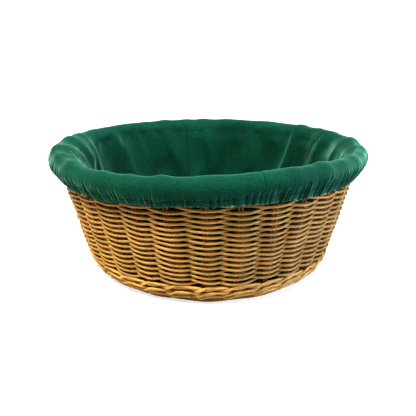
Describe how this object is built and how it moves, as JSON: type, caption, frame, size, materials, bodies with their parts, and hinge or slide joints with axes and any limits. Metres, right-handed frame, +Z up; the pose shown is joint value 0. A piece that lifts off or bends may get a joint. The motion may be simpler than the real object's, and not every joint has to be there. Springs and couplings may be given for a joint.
{
  "type": "lined wicker basket",
  "caption": "Round wicker bread-proving basket with outward-leaning woven walls and a lift-out fabric liner gripped under the rim by an elastic hem.",
  "frame": {"origin": "on the floor, under the centre of the basket", "axes": "+Z up along the basket's axis, -Y towards the front of the basket"},
  "size_m": [0.36, 0.36, 0.1423],
  "materials": {
    "weaver_cane": "satin peeled cane, honey coloured",
    "wale_cane": "satin peeled cane, honey coloured",
    "border_cane": "satin peeled cane, honey coloured",
    "stake_cane": "satin peeled cane, darker between the weavers",
    "base_stick": "matt peeled stick",
    "base_cane": "satin peeled cane",
    "liner_cloth": "plain-weave cotton, mid green",
    "elastic": "braided elastic",
    "thread": "sewing thread, matched to the cloth"
  },
  "bodies": {
    "basket": {"base_sticks_slit": "base_stick", "base_sticks_through": "base_stick", "base_cross_binding": "base_cane", "base_weave": "base_cane", "foot_ring": "base_cane", "side_stakes": "stake_cane", "bye_stakes": "stake_cane", "lower_wale_rod_1": "wale_cane", "lower_wale_rod_2": "wale_cane", "lower_wale_rod_3": "wale_cane", "siding_weaver_01": "weaver_cane", "siding_weaver_02": "weaver_cane", "siding_weaver_03": "weaver_cane", "siding_weaver_04": "weaver_cane", "siding_weaver_05": "weaver_cane", "siding_weaver_06": "weaver_cane", "siding_weaver_07": "weaver_cane", "siding_weaver_08": "weaver_cane", "siding_weaver_09": "weaver_cane", "siding_weaver_10": "weaver_cane", "siding_weaver_11": "weaver_cane", "siding_weaver_12": "weaver_cane", "siding_weaver_13": "weaver_cane", "siding_weaver_14": "weaver_cane", "siding_weaver_15": "weaver_cane", "siding_weaver_16": "weaver_cane", "siding_weaver_17": "weaver_cane", "siding_weaver_18": "weaver_cane", "siding_weaver_19": "weaver_cane", "siding_weaver_20": "weaver_cane", "siding_weaver_21": "weaver_cane", "siding_weaver_22": "weaver_cane", "siding_weaver_23": "weaver_cane", "siding_weaver_24": "weaver_cane", "siding_weaver_25": "weaver_cane", "siding_weaver_26": "weaver_cane", "siding_weaver_27": "weaver_cane", "siding_weaver_28": "weaver_cane", "siding_weaver_29": "weaver_cane", "siding_weaver_30": "weaver_cane", "upper_wale_rod_1": "wale_cane", "upper_wale_rod_2": "wale_cane", "upper_wale_rod_3": "wale_cane", "border_strand_1": "border_cane", "border_strand_2": "border_cane", "border_strand_3": "border_cane"},
    "liner": {"liner_floor_panel": "liner_cloth", "liner_gore_1": "liner_cloth", "liner_gore_2": "liner_cloth", "liner_gore_3": "liner_cloth", "liner_gore_4": "liner_cloth", "liner_skirt": "liner_cloth", "hem_elastic": "elastic", "liner_seam_threads": "thread"}
  },
  "joints": [
    {"name": "liner_lift", "type": "slide", "parent": "basket", "child": "liner", "axis": [0, 0, 1], "range_m": [0, 0.15], "deforming": ["liner_skirt", "hem_elastic"]}
  ]
}
